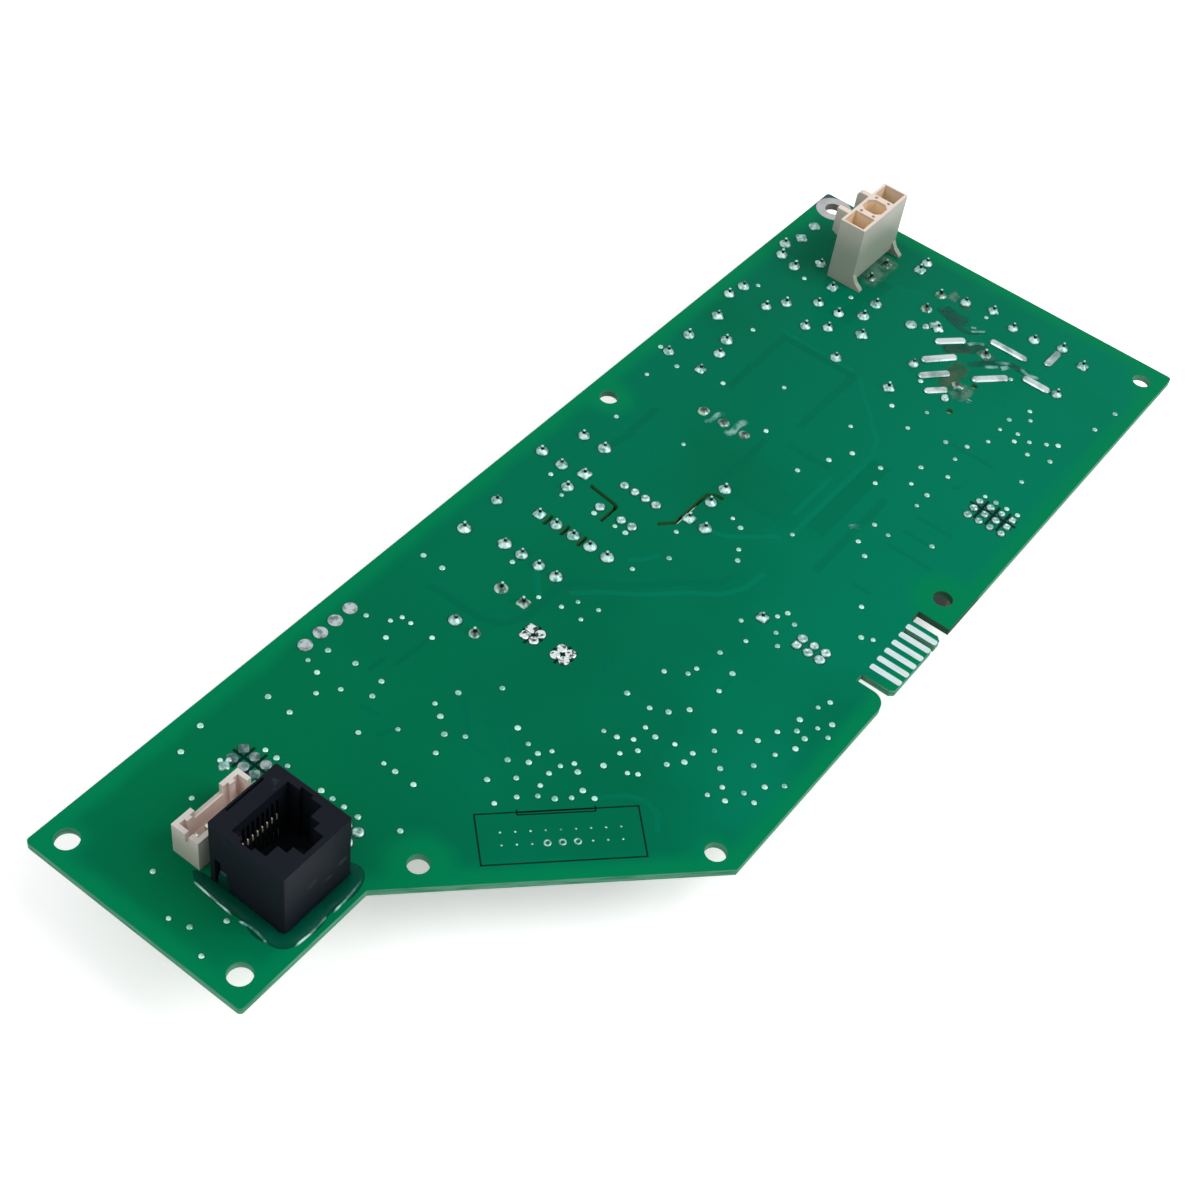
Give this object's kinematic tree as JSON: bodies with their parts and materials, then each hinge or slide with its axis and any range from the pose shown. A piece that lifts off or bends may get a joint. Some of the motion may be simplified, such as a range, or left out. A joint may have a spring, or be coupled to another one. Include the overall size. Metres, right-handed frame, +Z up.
{
  "type": "appliance control board",
  "caption": "Long notched control board for a dishwasher, lying on its tall parts, with a modular jack, keyed connectors and soldered joints on its upper face.",
  "frame": {"origin": "below the middle of the board's outline, on the plane the tallest parts rest on", "axes": "+X along the board from the narrow jack end to the mains end, +Y across it away from the edge fingers, +Z up, out of the solder face"},
  "size_m": [0.239, 0.0896, 0.0325],
  "materials": {
    "board_laminate": "green varnish over glass-fibre laminate",
    "tinned_copper": "bare tinned copper",
    "solder": "dull solder",
    "jack_plastic": "black moulding",
    "gilt_contact": "gilt wire",
    "sealant": "clear sealant",
    "cream_plastic": "cream moulding",
    "tinned_pin": "tinned pins",
    "relay_plastic": "blue case",
    "black_plastic": "black moulding",
    "ferrite": "dark sintered ferrite",
    "winding_tape": "yellow tape",
    "copper_winding": "enamelled copper wire",
    "can_sleeve": "printed film sleeve left plain",
    "blue_coating": "dipped coating",
    "orange_coating": "dipped coating",
    "yellow_case": "film capacitor case",
    "brown_case": "fuse case",
    "chip_black": "moulded epoxy",
    "white_header": "natural nylon",
    "chip_ceramic": "fired ceramic",
    "crystal_can": "pressed can"
  },
  "bodies": {
    "root": {"board": "board_laminate", "edge_fingers": "tinned_copper", "earth_ring": "tinned_copper", "flat_solder_pads": "solder", "solder_bars": "solder", "wire_joints": "solder", "pin_joints": "solder", "under_joints": "solder", "jack_housing": "jack_plastic", "jack_contacts": "gilt_contact", "jack_leads": "tinned_pin", "jack_sealant": "sealant", "signal_header": "cream_plastic", "signal_header_pins": "tinned_pin", "mains_connector": "cream_plastic", "mains_blades": "tinned_pin", "relay_cases": "relay_plastic", "relay_bases": "relay_plastic", "frame_pins": "tinned_pin", "transformer_core": "ferrite", "transformer_bobbin": "black_plastic", "transformer_winding": "winding_tape", "choke_base_plate": "black_plastic", "choke_loop": "ferrite", "choke_coils": "copper_winding", "electrolytic_cans": "can_sleeve", "dipped_discs": "blue_coating", "small_ceramics": "orange_coating", "film_capacitors": "yellow_case", "drum_choke_core": "ferrite", "drum_choke_winding": "copper_winding", "fuse_body": "brown_case", "wire_leads": "tinned_pin", "harness_header": "white_header", "harness_header_pins": "tinned_pin", "sensor_header": "white_header", "sensor_header_pins": "tinned_pin", "heater_header": "white_header", "heater_header_pins": "tinned_pin", "pump_header": "white_header", "pump_header_pins": "tinned_pin", "program_strip": "black_plastic", "program_strip_pins": "tinned_pin", "power_switch": "chip_black", "power_switch_legs": "tinned_pin", "microcontroller": "chip_black", "microcontroller_legs": "tinned_pin", "driver_chip": "chip_black", "driver_chip_legs": "tinned_pin", "memory_chip": "chip_black", "memory_chip_legs": "tinned_pin", "optocouplers": "chip_black", "optocoupler_legs": "tinned_pin", "regulator_tab": "tinned_copper", "regulator_body": "chip_black", "power_inductor": "ferrite", "crystal": "crystal_can", "chip_resistors": "chip_black", "chip_capacitors": "chip_ceramic"}
  },
  "joints": []
}
